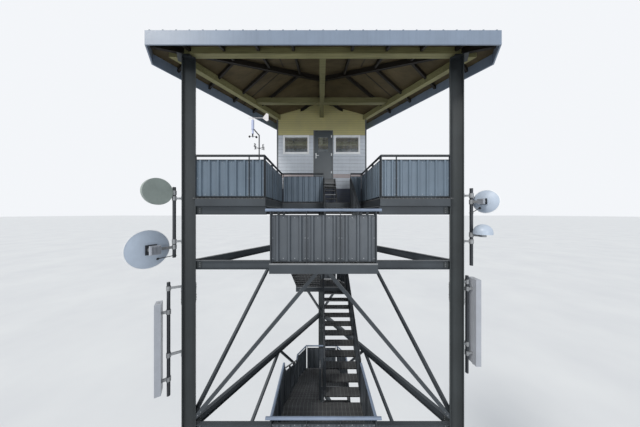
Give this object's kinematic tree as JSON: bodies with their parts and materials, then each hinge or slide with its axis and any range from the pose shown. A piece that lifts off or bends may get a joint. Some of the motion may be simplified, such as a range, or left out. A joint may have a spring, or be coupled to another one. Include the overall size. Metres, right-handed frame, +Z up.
{
  "type": "fire lookout tower",
  "caption": "Triangular steel lookout tower with stair flights between landings, a gallery with ribbed parapets, a cabin under a hipped roof, radio antennas and a wind sensor.",
  "frame": {"origin": "centre of the overall box in plan, on the ground under the base plates", "axes": "+Z up, -Y towards the side with the front landings, +X to the right seen from that side"},
  "size_m": [8.6596, 7.9544, 35.3378],
  "materials": {
    "leg_steel": "satin paint, weathered",
    "beam_steel": "satin paint, weathered",
    "tread_steel": "galvanised, dull",
    "dark_flat_bar": "satin paint",
    "ribbed_sheet": "coated ribbed sheet, satin",
    "gallery_sheet": "coated ribbed aluminium sheet, satin",
    "deck_plate": "tread plate, dull",
    "light_rail": "satin paint",
    "dark_rail": "satin paint",
    "roof_timber": "planed, green-brown stain",
    "dark_timber": "planed, dark stain",
    "soffit_board": "board, dark stain",
    "roof_sheet": "coated sheet on boarding, satin",
    "fascia_sheet": "fascia board under coated sheet, satin",
    "cabin_wall": "painted boards on studs, satin",
    "floor_board": "board, oiled",
    "grey_trim": "satin paint",
    "white_frame": "satin",
    "glass": "clear",
    "door_leaf": "painted leaf, satin",
    "door_furniture": "satin",
    "dark_pole": "galvanised, dark",
    "clamp_steel": "galvanised",
    "white_shell": "satin",
    "grey_cover": "matt",
    "sensor_body": "satin",
    "vane_white": "satin",
    "cup_black": "matt"
  },
  "bodies": {
    "tower": {"leg_rear": "leg_steel", "leg_left": "leg_steel", "leg_right": "leg_steel", "ring_beams": "beam_steel", "braces": "beam_steel", "stair_treads": "tread_steel", "stair_stringers": "beam_steel", "landing_frames": "beam_steel", "landing_decks": "tread_steel", "landing_parapet_frames": "dark_flat_bar", "landing_parapet_sheets": "ribbed_sheet", "landing_rails": "light_rail", "stair_parapet_frames": "dark_flat_bar", "stair_parapet_sheets": "ribbed_sheet", "stair_rails": "dark_rail", "gallery_parapet_frames": "dark_flat_bar", "gallery_parapet_sheets": "gallery_sheet", "gallery_rails": "dark_rail", "gallery_frame": "beam_steel", "gallery_deck": "deck_plate", "roof_front_beam": "roof_timber", "roof_side_beams": "roof_timber", "roof_tie_beams": "roof_timber", "roof_hip_rafters": "dark_timber", "roof_jack_rafters": "dark_timber", "roof_soffit": "soffit_board", "roof_skin": "roof_sheet", "roof_fascia": "fascia_sheet", "cabin_front_wall": "cabin_wall", "cabin_rear_wall": "cabin_wall", "cabin_right_wall": "cabin_wall", "cabin_left_wall": "cabin_wall", "cabin_floor": "floor_board", "cabin_corner_trims": "grey_trim", "window_frames": "white_frame", "glass_panes": "glass", "cabin_door_frame": "grey_trim", "cabin_door": "door_leaf", "cabin_door_furniture": "door_furniture", "cabin_steps": "tread_steel", "antenna_poles": "dark_pole", "antenna_mounts": "clamp_steel", "antenna_dishes": "white_shell", "antenna_drum": "grey_cover", "antenna_radome": "white_shell", "antenna_panels": "white_shell", "weather_mast": "dark_pole", "weather_sensor": "sensor_body"},
    "vane": {"wind_vane": "vane_white"},
    "cups": {"wind_cups": "cup_black"}
  },
  "joints": [
    {"name": "vane_turn", "type": "hinge", "parent": "tower", "child": "vane", "pos_m": [-1.8, -2.82718, 32.85], "axis": [0, 0, 1], "continuous": true},
    {"name": "cups_turn", "type": "hinge", "parent": "tower", "child": "cups", "pos_m": [-1.8, -2.82718, 32.39], "axis": [0, 0, 1], "continuous": true}
  ]
}
